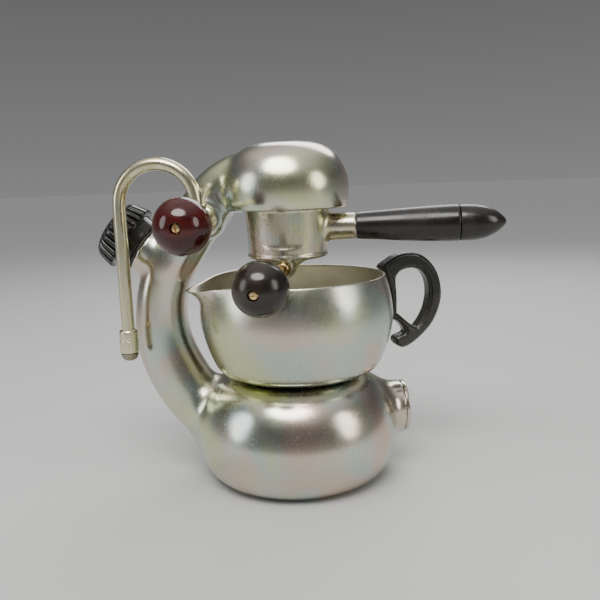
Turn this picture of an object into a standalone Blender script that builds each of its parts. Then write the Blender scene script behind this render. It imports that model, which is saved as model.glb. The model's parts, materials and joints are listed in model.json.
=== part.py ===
"""Stovetop espresso maker with its milk jug, as separate parts on their joints.

Millimetres in the constants, metres in Blender. +X is the way the filter handle points,
-Y is the side of the two ball knobs, +Z is up, and the origin is the middle of the base.
"""
import bpy
import bmesh
import math
from mathutils import Matrix, Vector

MM = 0.001
GAP = 0.3                      # clearance between pieces that touch in the real object
PART = "stovetop_espresso_maker"

# --- boiler bowl and base -----------------------------------------------------
BAY_X, RIM_Z = -44.0, 197.2      # the open bay under the head starts at BAY_X
BOWL_SEGS = 32
BOWL_OUT = [(0, 76), (44, 76), (49.5, 75.1), (54, 73.2), (58.2, 70.3), (62.3, 66.3),
            (66.2, 60.8), (69.5, 54), (72.4, 45), (74, 36), (73.5, 26.5), (71, 16.5),
            (66.6, 8.2), (61.5, 3.2), (56.4, 0.9)]
BOWL_IN = [(56.4, 5.3), (51, 5.3), (51, 8), (62, 12), (68.6, 24), (69.8, 36), (68.4, 44),
           (65.6, 52.6), (62.4, 58.6), (58.6, 63.8), (54.6, 67.6), (49.5, 70.6), (43, 72),
           (0, 72)]
BASE_R = 56.0
BASE_T = 5.0
BOSS_AZ = 12.0                 # the safety valve looks this far behind +X
BOSS_Z = 44.5
BOSS_R = 19.6
BOSS_END = 80.0
VALVE_END = 84.6

# --- column and filler neck ---------------------------------------------------
SPINE = [(-51, 31), (-74, 53.4), (-83.3, 67.8), (-91.8, 83), (-97, 98), (-99.1, 113),
         (-98.4, 131), (-95, 145.5), (-87.5, 160.5), (-78.5, 175), (-69, 188.4), (-57.6, 204.2),
         (-38.8, 217), (-16, 219.5)]
SPINE_A = [18, 20.5, 21, 20.9, 20.2, 19.2, 18, 18, 17.6, 17.5, 17.5, 18.8, 21.4, 21]
SPINE_B = [24, 23.5, 22.6, 21.6, 21, 20.5, 20.3, 20.2, 20.2, 20.2, 20.4, 21, 22, 22.5]
BORE_A = [13, 15.5, 16.5, 16.5, 16, 15, 14, 14, 13.8, 13.5, 12.5, 10.5, 8, 6]
BORE_B = [16, 18, 18, 17.4, 16.8, 16.4, 16, 16, 16, 16, 15, 12.5, 9, 6]
BORE_SHIFT = [0, 0, 0, 0, 0, 0, 0, 0, 0, 0, 0, 1, 4, 6]
CAP_C = (-114.4, 176.4)        # middle of the cap's inner edge
CAP_AXIS = (-0.81, 0.587)      # X and Z of the filler's axis, pointing out
NECK_R = 18.4
NECK_END = -8.2                # along the axis from CAP_C
NECK_BORE = 13.6

# --- head and brewing group ---------------------------------------------------
GROUP_X = -2.5
HEAD = [(0, 244.4), (12, 244.2), (21.5, 243), (29.5, 240), (36, 235.2), (40.6, 228.6),
        (43.9, 221), (45.2, 213), (44.6, 204), (43.2, 198.2), (42.4, 197.5),
        (31.0, 197.5), (31.0, 201), (34.6, 201), (34.6, 211), (21, 211), (21, 216),
        (33, 218.5), (37.5, 222), (36.5, 228), (31, 234), (21, 238.6), (4.6, 240),
        (4.6, 211), (2.0, 211), (2.0, 224), (0, 224)]
SLOT_AT = 120.0                # the lugs drop out here
LUG_W = 14.0

# --- filter holder and its tap ------------------------------------------------
CUP_OUT = [(0, 206), (30.2, 206), (30.2, 198), (29.5, 196.2), (28.3, 165.8), (29.2, 164.9),
           (29, 163.7), (27, 162.9), (10, 159.2), (0, 158.8)]
CUP_IN = [(0, 210), (26.9, 210), (26.9, 207.5), (26.2, 169.4), (24.9, 167.7), (8, 166.6), (0, 166.4)]
BEAK = [(-2.5, -15, 13.5, 12.4, 168), (-2.5, -16.4, 11.5, 11.4, 163.5),
        (-2.7, -17.6, 9.4, 10.4, 159.5), (-3, -18.6, 7.8, 9.4, 155.5),
        (-3, -19, 6, 8, 152.4), (-3, -19, 3.6, 5, 150.9)]
TAP_AT = (-3.3, -27.6, 157.4)  # where the tap's gland meets the front of the beak
TAP_TO = (-11.5, -85.5, 152.5)  # centre of its ball knob
ARM_Z = 183.8
ARM_R = 9.4
ARM_END = 47.0
GRIP = [(0, 119.6), (12.9, 119.6), (13.1, 117), (12.9, 108), (12.2, 92), (11.3, 76),
        (10.4, 62), (9.8, 52), (9.4, 47.4), (0, 47.4)]
GRIP_CAP = [(0, 152.4), (1.9, 152), (4.1, 150.1), (6.6, 147.2), (9.1, 143.3), (11.3, 137.8),
            (12.6, 131), (13, 124), (12.9, 120), (0, 120)]
BALL_R = 18.0
SPINDLE_R = 2.0

# --- steam valve and pipe -----------------------------------------------------
STEAM_X = -58.1
STEAM_Z = 192.1
STEAM_BALL_Y = -84.7
PIPE_Y = -31.5
PIPE_ROOT_X = -60.8
PIPE_LEG_X = -114.8
PIPE_TOP = 231.6               # centre line of the arch
PIPE_SPRING = 205.0            # where the arch leaves its two legs
PIPE_R = 4.5
PIPE_BORE = 2.7
PIPE_LOW = 112.0

# --- jug ----------------------------------------------------------------------
JUG_X = 2.5
JUG_SEGS = 32
JUG_AZ = 20.0                  # the handle; the beak is opposite
JUG_WALL = 1.6
JUG_OUT = [(0, 76.3), (2, 76.3), (40, 76.3), (47, 77.7), (54, 80.4), (59.4, 84.2), (63.4, 92),
           (67, 102), (69.6, 113), (70.2, 122), (69, 133), (67, 142), (65, 148.3)]
RING = [(64.8, 149.2), (65.2, 152), (71, 155.7), (78, 159.4), (87, 160.8), (95.5, 159.3),
        (102.4, 154.9), (108.2, 148.4), (111.9, 140.8), (113.8, 132), (113.8, 124), (111.8, 116.3),
        (107.5, 107.1), (100.5, 98.9), (90.7, 91.3), (83, 88), (78, 89.4), (75.4, 92.8),
        (75.8, 96), (79, 97.6), (84, 100), (79.5, 107), (75.4, 110.2), (71.4, 110.8),
        (71.2, 122), (70.8, 129.5), (69.4, 137.8), (67.6, 144.4), (65.9, 149)]
RING_HOLE = [(77.2, 115.8), (77.3, 128), (76.6, 138), (77, 143), (79.8, 146.6), (85, 148.6),
             (91.3, 148.7), (97.4, 146.2), (101.9, 140.4), (103.8, 132), (103.4, 123.3),
             (100.4, 113.6), (94, 104.4), (90, 104.4), (78.4, 114.4)]
RING_W = 14.0
RIVET_Z = (140.5, 121.0)

COLOURS = {
    "cast_aluminium": ((0.62, 0.61, 0.57), 1.0, 0.3),
    "holder_aluminium": ((0.56, 0.54, 0.48), 1.0, 0.36),
    "spun_aluminium": ((0.66, 0.65, 0.6), 1.0, 0.3),
    "pipe_nickel": ((0.6, 0.57, 0.45), 1.0, 0.25),
    "brass": ((0.66, 0.47, 0.2), 1.0, 0.3),
    "black_bakelite": ((0.018, 0.015, 0.013), 0.0, 0.25),
    "red_bakelite": ((0.09, 0.012, 0.01), 0.0, 0.2),
    "rubber_seal": ((0.05, 0.045, 0.04), 0.0, 0.7),
    "pressed_steel": ((0.55, 0.55, 0.55), 1.0, 0.3),
    "nozzle_dark": ((0.13, 0.11, 0.09), 1.0, 0.5),
}


# --- helpers ------------------------------------------------------------------
def clear_scene():
    for obj in list(bpy.data.objects):
        bpy.data.objects.remove(obj, do_unlink=True)


def collection(name):
    coll = bpy.data.collections.new(name)
    bpy.context.scene.collection.children.link(coll)
    return coll


def material(name):
    rgb, metal, rough = COLOURS[name]
    mat = bpy.data.materials.get(name)
    if mat is None:
        mat = bpy.data.materials.new(name)
        mat.use_nodes = True
        bsdf = mat.node_tree.nodes["Principled BSDF"]
        bsdf.inputs["Base Color"].default_value = (*rgb, 1)
        bsdf.inputs["Metallic"].default_value = metal
        bsdf.inputs["Roughness"].default_value = rough
    return mat


def add(name, mesh, slot=None):
    """A part if it has a material slot, otherwise a hidden cutter."""
    obj = bpy.data.objects.new(name, mesh)
    if slot:
        PARTS.objects.link(obj)
        obj.data.materials.append(material(slot))
    else:
        CUTTERS.objects.link(obj)
        obj.hide_render = True
        obj.display_type = "WIRE"
    return obj


def aim(origin, direction):
    """A frame whose Z runs along a direction."""
    z = Vector(direction).normalized()
    side = Vector((0, 1, 0)) if abs(z.y) < 0.9 else Vector((1, 0, 0))
    x = side.cross(z).normalized()
    y = z.cross(x)
    rot = Matrix((x, y, z)).transposed().to_4x4()
    return Matrix.Translation(Vector(origin) * MM) @ rot


def turned(name, profile, slot=None, segs=32, at=None, closed=False):
    """A profile of (radius, height) points turned about Z, outer side first, top to bottom."""
    mesh = bpy.data.meshes.new(name)
    verts = [(r * MM, 0, z * MM) for r, z in profile]
    edges = [(i, i + 1) for i in range(len(verts) - 1)]
    if closed:
        edges.append((len(verts) - 1, 0))
    mesh.from_pydata(verts, edges, [])
    obj = add(name, mesh, slot)
    if at is not None:
        obj.matrix_world = at
    screw = obj.modifiers.new("Turn", "SCREW")
    screw.axis = "Z"
    screw.steps = segs
    screw.render_steps = segs
    screw.use_merge_vertices = True
    screw.merge_threshold = 0.00005
    screw.use_smooth_shade = False
    return obj


def rod(name, r, z0, z1, slot=None, segs=24, at=None):
    return turned(name, [(0, z1), (r, z1), (r, z0), (0, z0)], slot, segs, at)


def tube(name, r_out, r_in, z0, z1, slot=None, segs=32, at=None):
    loop = [(r_out, z1), (r_out, z0), (r_in, z0), (r_in, z1)]
    return turned(name, loop, slot, segs, at, closed=True)


def lofted(name, rings, slot=None, closed=False):
    """Skin through rings of equal length, with flat ends unless it closes on itself."""
    bm = bmesh.new()
    rows = [[bm.verts.new(Vector(p) * MM) for p in ring] for ring in rings]
    count = len(rings[0])
    pairs = list(zip(rows, rows[1:]))
    if closed:
        pairs.append((rows[-1], rows[0]))
    for low, high in pairs:
        for i in range(count):
            j = (i + 1) % count
            bm.faces.new((low[i], low[j], high[j], high[i]))
    if not closed:
        bm.faces.new(rows[0])
        bm.faces.new(rows[-1])
    bmesh.ops.triangulate(bm, faces=[f for f in bm.faces if len(f.verts) == 4])
    bmesh.ops.recalc_face_normals(bm, faces=bm.faces)
    mesh = bpy.data.meshes.new(name)
    bm.to_mesh(mesh)
    bm.free()
    return add(name, mesh, slot)


def box(name, low, high, slot=None, at=None):
    bm = bmesh.new()
    bmesh.ops.create_cube(bm, size=1)
    for v in bm.verts:
        v.co = Vector([(low[i] + high[i]) / 2 + v.co[i] * (high[i] - low[i]) for i in range(3)]) * MM
    mesh = bpy.data.meshes.new(name)
    bm.to_mesh(mesh)
    bm.free()
    obj = add(name, mesh, slot)
    if at is not None:
        obj.matrix_world = at
    return obj


def boolean(obj, tool, operation):
    mod = obj.modifiers.new(operation.title(), "BOOLEAN")
    mod.operation = operation
    mod.object = tool
    mod.solver = "EXACT"


def cut(obj, *tools):
    for tool in tools:
        boolean(obj, tool, "DIFFERENCE")


def join(obj, *tools):
    for tool in tools:
        boolean(obj, tool, "UNION")


def section(centre, along, a, b, segs=24, square=2.3):
    """A soft-cornered oval square to a spine in the XZ plane."""
    x, z = centre
    nx, nz = along[1], -along[0]
    ring = []
    for i in range(segs):
        t = 2 * math.pi * (i + 0.5) / segs
        c, s = math.cos(t), math.sin(t)
        u = a * math.copysign(abs(c) ** (2 / square), c)
        v = b * math.copysign(abs(s) ** (2 / square), s)
        ring.append((x + nx * u, v, z + nz * u))
    return ring


def spine_loft(name, half_a, half_b, shift, slot=None, segs=24):
    rings = []
    last = len(SPINE) - 1
    for i, (x, z) in enumerate(SPINE):
        x0, z0 = SPINE[max(i - 1, 0)]
        x1, z1 = SPINE[min(i + 1, last)]
        size = math.hypot(x1 - x0, z1 - z0)
        along = ((x1 - x0) / size, (z1 - z0) / size)
        rings.append(section((x, z + shift[i]), along, half_a[i], half_b[i], segs))
    return lofted(name, rings, slot)


def grown(profile, by):
    """A solid profile pushed outwards, for a cutter that leaves a gap."""
    out = []
    for i, (r, z) in enumerate(profile):
        r0, z0 = profile[max(i - 1, 0)]
        r1, z1 = profile[min(i + 1, len(profile) - 1)]
        dr, dz = r1 - r0, z1 - z0
        size = math.hypot(dr, dz)
        nr, nz = -dz / size, dr / size
        out.append((0 if r == 0 else r + by * nr, z + by * nz))
    return out


def tube_along(name, path, r_out, r_in, slot, segs=16):
    """An open tube along a path in one upright plane, with square ends."""
    def rings(radius):
        rows = []
        for i, (x, y, z) in enumerate(path):
            a = Vector(path[max(i - 1, 0)])
            b = Vector(path[min(i + 1, len(path) - 1)])
            along = (b - a).normalized()
            side = Vector((0, 1, 0))
            other = along.cross(side)
            row = []
            for k in range(segs):
                t = 2 * math.pi * k / segs
                p = Vector((x, y, z)) + (side * math.cos(t) + other * math.sin(t)) * radius
                row.append(tuple(p))
            rows.append(row)
        return rows
    return lofted(name, rings(r_out) + rings(r_in)[::-1], slot, closed=True)


def polar(radius, azimuth, z, x0=0.0):
    a = math.radians(azimuth)
    return (x0 + radius * math.cos(a), radius * math.sin(a), z)


# --- the boiler: bowl, base plate, safety valve -----------------------------------
def build_boiler():
    valve_at = aim((0, 0, BOSS_Z), polar(1, BOSS_AZ, 0))
    bowl = turned("boiler_casting", BOWL_OUT + BOWL_IN, "cast_aluminium", BOWL_SEGS)
    boss = turned("boss_solid", [(0, BOSS_END), (BOSS_R - 0.8, BOSS_END), (BOSS_R, BOSS_END - 1),
                                 (BOSS_R + 0.2, 72), (BOSS_R + 1, 61), (0, 61)], None, 24, valve_at)
    join(bowl, boss)
    cut(bowl, rod("boss_bore", 9.0, 50, 90, None, 16, valve_at))
    cut(bowl, spine_loft("passage_low", BORE_A, BORE_B, BORE_SHIFT, None, 16))
    plate = [(0, BASE_T), (BASE_R - 0.3, BASE_T), (BASE_R, BASE_T - 0.3), (BASE_R, 1.4),
             (BASE_R - 0.6, 0.4), (BASE_R - 1.6, 0), (0, 0)]
    turned("base_plate", plate, "cast_aluminium", BOWL_SEGS)

    body = [(12.5, BOSS_END + 1.8), (13, BOSS_END + 1.3), (13, BOSS_END + 0.3),
            (8.7, BOSS_END + 0.3), (8.7, 60), (3.4, 60), (3.4, 63), (6.6, 63),
            (6.6, BOSS_END + 1.8)]
    turned("safety_valve_body", body, "brass", 16, valve_at, closed=True)
    cap = [(0, VALVE_END), (9, VALVE_END - 0.2), (15.5, VALVE_END - 0.8),
           (BOSS_R - 1, VALVE_END - 1.4), (BOSS_R - 0.3, VALVE_END - 2.3),
           (BOSS_R - 0.2, BOSS_END + 0.3), (13.4, BOSS_END + 0.3), (13.4, BOSS_END + 2.1),
           (0, BOSS_END + 2.1)]
    turned("safety_valve_cap", cap, "cast_aluminium", 24, valve_at)
    plunger = [(0, 76), (1.9, 76), (1.9, 66), (5.8, 66), (5.8, 63.3), (2.9, 63.3), (2.9, 57.5),
               (0, 57.5)]
    turned("safety_plunger", plunger, "brass", 12, valve_at)
    tube("safety_spring", 5.6, 2.4, 66.3, 79.2, "pressed_steel", 12, valve_at)


# --- the column with its filler neck, and the dip tube inside ---------------------
def build_column():
    axis = (CAP_AXIS[0], 0, CAP_AXIS[1])
    neck_at = aim((CAP_C[0], 0, CAP_C[1]), axis)
    column = spine_loft("column_casting", SPINE_A, SPINE_B, [0] * len(SPINE), "cast_aluminium", 24)
    neck = turned("neck_solid", [(0, NECK_END), (NECK_R - 0.5, NECK_END), (NECK_R, NECK_END - 0.6),
                                 (NECK_R - 0.2, NECK_END - 5), (NECK_R - 0.6, -30),
                                 (0, -30)], None, 24, neck_at)
    valve_at = aim((STEAM_X, 0, STEAM_Z), (0, -1, 0))
    boss = turned("valve_boss", [(0, 22.6), (12, 21.2), (13.4, 18), (13.6, 6), (0, 6)],
                  None, 24, valve_at)
    join(column, neck, boss)
    cut(column, turned("bowl_room", grown(BOWL_OUT, GAP) + [(0, 0.9)], None, BOWL_SEGS))
    head_at = Matrix.Translation(Vector((GROUP_X, 0, 0)) * MM)
    room = grown(HEAD[:11], GAP) + [(HEAD[10][0] + GAP, 185), (0, 185)]
    cut(column, turned("head_room", room, None, BOWL_SEGS, head_at))
    cut(column, box("bay_room", (BAY_X, -30, 170), (-18, 30, RIM_Z), None))
    cut(column, spine_loft("column_bore", BORE_A, BORE_B, BORE_SHIFT, None, 16))
    seat = [(0, 34), (10.6, 34), (10.6, 21.7), (6.2, 21.7), (6.2, 5), (0, 5)]
    cut(column, turned("valve_seat", seat, None, 18, valve_at))
    cut(column, rod("neck_bore", NECK_BORE, -34, 4, None, 20, neck_at))

    path = [(-36, 0, 12.5), (-43.5, 0, 21.5)]
    path += [(x, 0, z + s) for (x, z), s in zip(SPINE, BORE_SHIFT)][:-1]
    path += [(-27, 0, 224)]
    tube_along("riser_tube", path, 3.6, 2.6, "pressed_steel", 8)


# --- the head and what it holds ---------------------------------------------------
def build_head():
    at = Matrix.Translation(Vector((GROUP_X, 0, 0)) * MM)
    head = turned("head_casting", HEAD, "cast_aluminium", BOWL_SEGS, at)
    slot_at = at @ Matrix.Rotation(math.radians(SLOT_AT), 4, "Z")
    half = LUG_W / 2 + 2.5
    cut(head, box("lug_slots", (-34.6, -half, 195), (34.6, half, 201.6), None, slot_at))
    cut(head, spine_loft("passage_high", BORE_A, BORE_B, BORE_SHIFT, None, 16))
    tube("group_gasket", 32, 24, 207.9, 210.7, "rubber_seal", 24, at)
    screen = turned("shower_screen", [(0, 209.6), (22.6, 209.6), (23.4, 208.9), (23.4, 208.2),
                                      (22, 208.4), (0, 208.4)], "pressed_steel", 24, at)
    counts = {9: 3, 16: 7}
    holes = [polar(r, 360 * a / n + 11, 0) for r, n in counts.items() for a in range(n)]
    cut(screen, hole_set("screen_holes", holes, 1.1, 205, 212, at))
    cut(screen, rod("screw_hole", 2.0, 205, 212, None, 12, at))
    turned("shower_screw", [(0, 219), (1.6, 219), (1.6, 208.1), (4, 208.1), (4, 206.6),
                            (3.2, 206.2), (0, 206.2)], "brass", 16, at)


def hole_set(name, centres, radius, z0, z1, at=None):
    """Many small straight holes as one cutter."""
    bm = bmesh.new()
    for x, y, _ in centres:
        made = bmesh.ops.create_cone(bm, cap_ends=True, segments=6, radius1=radius * MM,
                                     radius2=radius * MM, depth=(z1 - z0) * MM)
        bmesh.ops.translate(bm, verts=made["verts"], vec=Vector((x, y, (z0 + z1) / 2)) * MM)
    mesh = bpy.data.meshes.new(name)
    bm.to_mesh(mesh)
    bm.free()
    obj = add(name, mesh)
    if at is not None:
        obj.matrix_world = at
    return obj


# --- the filter holder, its handle and its tap ------------------------------------
def ball(name, screw_name, slot, at, radius=BALL_R):
    """A ball knob along Z of its frame, with its bore behind and screw recess in front."""
    arc = [(radius * math.sin(math.radians(t)), radius * math.cos(math.radians(t)))
           for t in (12, 25, 40, 56, 73, 90, 107, 123, 138, 152, 164)]
    inner = [(2.3, arc[-1][1]), (2.3, 6), (1.9, 6), (1.9, 13.2), (3.55, 13.2)]
    turned(name, arc + inner, slot, 20, at, closed=True)
    screw = turned(screw_name, [(0, 16.6), (1.8, 16.5), (3.0, 15.8), (3.1, 13.5), (1.5, 13.5),
                                (1.5, 7.2), (0, 7.2)], "brass", 12, at)
    cut(screw, box(screw_name + "_slot", (-6, -0.42, 15.5), (6, 0.42, 20), None, at))


def build_holder():
    at = Matrix.Translation(Vector((GROUP_X, 0, 0)) * MM)
    holder = turned("filter_holder", CUP_OUT, "holder_aluminium", 32, at)
    rings = [[(cx + rx * math.cos(t * math.tau / 16), cy + ry * math.sin(t * math.tau / 16), z)
              for t in range(16)] for cx, cy, rx, ry, z in BEAK]
    arm_at = aim((0, 0, ARM_Z), (1, 0, 0))
    arm = turned("arm_solid", [(0, 34), (3.1, 34), (3.1, ARM_END), (ARM_R - 0.4, ARM_END),
                               (ARM_R, ARM_END - 0.5), (ARM_R, 40), (ARM_R + 0.5, 30),
                               (ARM_R + 1, 20), (0, 20)], None, 24, arm_at)
    lugs = box("lug_bar", (-LUG_W / 2, -33.2, 201.4), (LUG_W / 2, 33.2, 205), None, at)
    join(holder, lofted("beak_solid", rings), arm, lugs)
    cut(holder, turned("cup_space", CUP_IN, None, 24, at))

    tap_dir = Vector(TAP_TO) - Vector(TAP_AT)
    tap_len = tap_dir.length
    tap_at = aim(TAP_AT, tap_dir)
    socket = [(0, 6), (4.7, 6), (4.7, -7), (2.6, -7), (2.6, -13), (0, -13)]
    cut(holder, turned("tap_socket", socket, None, 16, tap_at))
    duct_in = Matrix.Translation(Vector((-1.9, -15.6, 0)) * MM)
    duct_out = Matrix.Translation(Vector((-2.6, -20.4, 0)) * MM)
    cut(holder, rod("duct_in", 1.7, 159, 168, None, 8, duct_in))
    cut(holder, rod("duct_out", 1.7, 148, 158, None, 8, duct_out))

    tube("tap_gland_nut", 4.3, 2.4, -6.7, 2.6, "brass", 20, tap_at)
    rod("tap_spindle", SPINDLE_R, -12, tap_len + 5.5, "brass", 12, tap_at)
    ball("tap_knob", "tap_knob_screw", "black_bakelite",
         tap_at @ Matrix.Translation((0, 0, tap_len * MM)))

    grip = turned("handle_grip", GRIP, "black_bakelite", 24, arm_at)
    cut(grip, rod("grip_bore", 3.1, 46, 110, None, 12, arm_at))
    turned("handle_end_cap", GRIP_CAP, "black_bakelite", 24, arm_at)
    rod("handle_stud", 2.8, 34.4, 109, "pressed_steel", 12, arm_at)

    basket = [(30.6, 207.5), (30.6, 206.3), (26.5, 206.3), (25.2, 171.4), (24.4, 170), (0, 170),
              (0, 171), (23.9, 171), (24.3, 171.6), (25.6, 207), (25.8, 207.5)]
    outer = basket[:6]
    inner = basket[6:]
    basket = turned("filter_basket", inner + outer, "pressed_steel", 24, at)
    counts = {7: 4, 15: 8}
    holes = [polar(r, 360 * a / n + 7, 0) for r, n in counts.items() for a in range(n)]
    cut(basket, hole_set("basket_holes", holes, 1.0, 168, 174, at))


# --- the steam valve, knob and swivelling pipe --------------------------------------
def build_steam():
    valve_at = aim((STEAM_X, 0, STEAM_Z), (0, -1, 0))
    body = [(6.8, 37), (7.4, 36.4), (7.4, 25), (9.2, 24), (9.2, 22), (5.8, 22), (5.8, 8),
            (3, 8), (3, 37)]
    valve = turned("steam_valve_body", body, "pipe_nickel", 20, valve_at, closed=True)
    root_at = Matrix.Translation(Vector((PIPE_ROOT_X, PIPE_Y, 0)) * MM)
    turret = turned("turret_solid", [(0, 199.6), (6.7, 199.6), (6.7, 197.2), (0, 197.2)], None, 16, root_at)
    join(valve, turret)
    cut(valve, rod("pipe_socket", PIPE_R + 0.3, 197.8, 205, None, 16, root_at))
    tube("steam_gland_nut", 4.5, 2.9, 37.3, 46, "pipe_nickel", 16, valve_at)
    nut = rod("steam_pipe_nut", 7.3, 199.9, 203.6, "pipe_nickel", 6, root_at)
    cut(nut, rod("nut_bore", PIPE_R + 0.4, 199, 206, None, 16, root_at))
    ball_at = -STEAM_BALL_Y
    turned("steam_spindle", [(0, ball_at + 5.5), (SPINDLE_R, ball_at + 5.5),
                             (SPINDLE_R, ball_at - 19), (2.6, ball_at - 20), (2.6, 12), (0, 12)],
           "brass", 12, valve_at)
    ball("steam_knob", "steam_knob_screw", "red_bakelite",
         valve_at @ Matrix.Translation((0, 0, ball_at * MM)), BALL_R + 0.25)

    mid = (PIPE_ROOT_X + PIPE_LEG_X) / 2
    half = (PIPE_ROOT_X - PIPE_LEG_X) / 2
    rise = PIPE_TOP - PIPE_SPRING
    path = [(PIPE_ROOT_X, PIPE_Y, z) for z in (198.2, 202)]
    for i in range(13):
        t = math.pi * i / 12
        path.append((mid + half * math.cos(t), PIPE_Y, PIPE_SPRING + rise * math.sin(t)))
    path += [(PIPE_LEG_X, PIPE_Y, z) for z in (186, 150, PIPE_LOW)]
    tube_along("steam_pipe", path, PIPE_R, PIPE_BORE, "pipe_nickel", 10)
    leg_at = Matrix.Translation(Vector((PIPE_LEG_X, PIPE_Y, 0)) * MM)
    collar = [(PIPE_R + 0.3, 117), (6.1, 117), (6.5, 116), (6.5, 101.5), (6, 100.6), (5, 100.6),
              (5, 108), (PIPE_R + 0.3, 108.5)]
    turned("steam_nozzle_collar", collar, "pipe_nickel", 16, leg_at, closed=True)
    tip = [(1.0, 107.6), (4.7, 107.6), (4.7, 100.3), (5.9, 100.3), (5.7, 98.6), (4.6, 96.4),
           (2.6, 95.1), (1.0, 94.9)]
    turned("steam_nozzle_tip", tip, "nozzle_dark", 16, leg_at, closed=True)


# --- the filler cap -----------------------------------------------------------------
def build_filler():
    axis = (CAP_AXIS[0], 0, CAP_AXIS[1])
    at = aim((CAP_C[0], 0, CAP_C[1]), axis)
    tube("filler_gasket", NECK_R - 0.6, NECK_BORE + 0.8, NECK_END + 0.3, NECK_END + 1.9,
         "rubber_seal", 24, at)
    skirt = [(0, 21.6), (9, 21.4), (16, 20.6), (20.4, 18.8), (22.9, 15.6), (24.1, 11),
             (24.9, 5.6), (24.3, 3.8), (20.5, 3.6), (19.9, 1), (19.4, NECK_END + 2.8),
             (18.8, NECK_END + 2.2),
             (13.4, NECK_END + 2.2), (13.4, 12), (11, 15.5), (0, 15.5)]
    cap = turned("filler_cap", skirt, "black_bakelite", 24, at)
    cut(cap, rib_grooves(at))
    plug = [(0, 14.9), (10.4, 14.9), (13.0, 11.6), (13.0, -20), (12.2, -21), (10.4, -21),
            (10.4, 9), (0, 9)]
    turned("filler_cap_plug", plug, "brass", 20, at)


def rib_grooves(at):
    """The flutes between the ribs of the cap, as one cutter."""
    bm = bmesh.new()
    count = 28
    for i in range(count):
        made = bmesh.ops.create_cube(bm, size=1)["verts"]
        for v in made:
            outer = v.co.x > 0
            x = 30.0 if outer else 23.9
            y = v.co.y * 2 * (1.9 if outer else 0.7)
            z = 20.0 if v.co.z > 0 else -3.0
            if not outer and v.co.z > 0:
                x = 19.6
            v.co = Vector((x, y, z)) * MM
        turn = Matrix.Rotation(math.tau * i / count, 4, "Z")
        bmesh.ops.transform(bm, matrix=turn, verts=made)
    mesh = bpy.data.meshes.new("rib_grooves")
    bm.to_mesh(mesh)
    bm.free()
    obj = add("rib_grooves", mesh)
    obj.matrix_world = at
    return obj


# --- the milk jug -------------------------------------------------------------------
def jug_point(radius, z, azimuth, inset=0.0):
    """A point on the jug, with the rim drawn out into a beak opposite the handle."""
    off = (azimuth - JUG_AZ - 180 + 180) % 360 - 180
    bump = math.exp(-(off / 17.0) ** 2)
    rise = max(0.0, (z - 116) / (148.3 - 116))
    reach = 15.4 * bump * rise ** 1.6
    drop = 5.4 * bump * rise ** 2.4
    return polar(radius + reach - inset, azimuth, z - drop, JUG_X)


def build_jug():
    outer = JUG_OUT[1:]
    inner = [(r - (JUG_WALL if z > 82 else JUG_WALL * 0.6), z + (0 if z > 82 else JUG_WALL))
             for r, z in outer]
    inner[-1] = (outer[-1][0] - JUG_WALL, outer[-1][1])
    rings = []
    for r, z in inner + outer[::-1]:
        rings.append([jug_point(r, z, 360 * i / JUG_SEGS) for i in range(JUG_SEGS)])
    body = lofted("jug_body", rings, "spun_aluminium")

    azimuth = math.radians(JUG_AZ)
    along = Vector((math.cos(azimuth), math.sin(azimuth), 0))
    rows = (along, Vector((0, 0, 1)), along.cross(Vector((0, 0, 1))))
    plane = Matrix(rows).transposed().to_4x4()
    plane = Matrix.Translation(Vector((JUG_X, 0, 0)) * MM) @ plane
    bm = bmesh.new()
    loops = []
    for loop in (RING, RING_HOLE):
        verts = [bm.verts.new((x * MM, y * MM, -RING_W / 2 * MM)) for x, y in loop]
        loops += [bm.edges.new((verts[i], verts[(i + 1) % len(verts)])) for i in range(len(verts))]
    bmesh.ops.triangle_fill(bm, use_beauty=True, use_dissolve=False, edges=loops)
    bmesh.ops.recalc_face_normals(bm, faces=bm.faces)
    mesh = bpy.data.meshes.new("jug_handle")
    bm.to_mesh(mesh)
    bm.free()
    handle = add("jug_handle", mesh, "black_bakelite")
    handle.matrix_world = plane
    thick = handle.modifiers.new("Width", "SOLIDIFY")
    thick.thickness = RING_W * MM
    thick.offset = -1
    for k, z in enumerate(RIVET_Z):
        at = aim((JUG_X, 0, z), along)
        wall = next(r for r, top in JUG_OUT if top >= z)
        cut(body, rod("rivet_hole_%d" % k, 1.9, 55, 80, None, 8, at))
        cut(handle, rod("rivet_seat_%d" % k, 1.9, 55, wall + 4.6, None, 8, at))
        head = wall - JUG_WALL - 0.9
        shape = [(0, wall + 4.2), (1.6, wall + 4.2), (1.6, head), (3.1, head), (2.6, head - 1.2),
                 (0, head - 1.7)]
        name = "jug_rivet_upper" if k == 0 else "jug_rivet_lower"
        turned(name, shape, "pressed_steel", 12, at)


clear_scene()
PARTS = collection(PART)
CUTTERS = collection("cutters")
build_boiler()
build_column()
build_head()
build_holder()
build_steam()
build_filler()
build_jug()
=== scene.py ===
"""Looks for the stovetop espresso maker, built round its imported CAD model.

Shapes are worked out in millimetres and made in metres, in the model's own frame:
+X the way the filter handle points, -Y the side of the ball knobs, +Z up.
"""

import json
import math

import bpy
import numpy as np
from mathutils import Matrix, Vector


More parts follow.
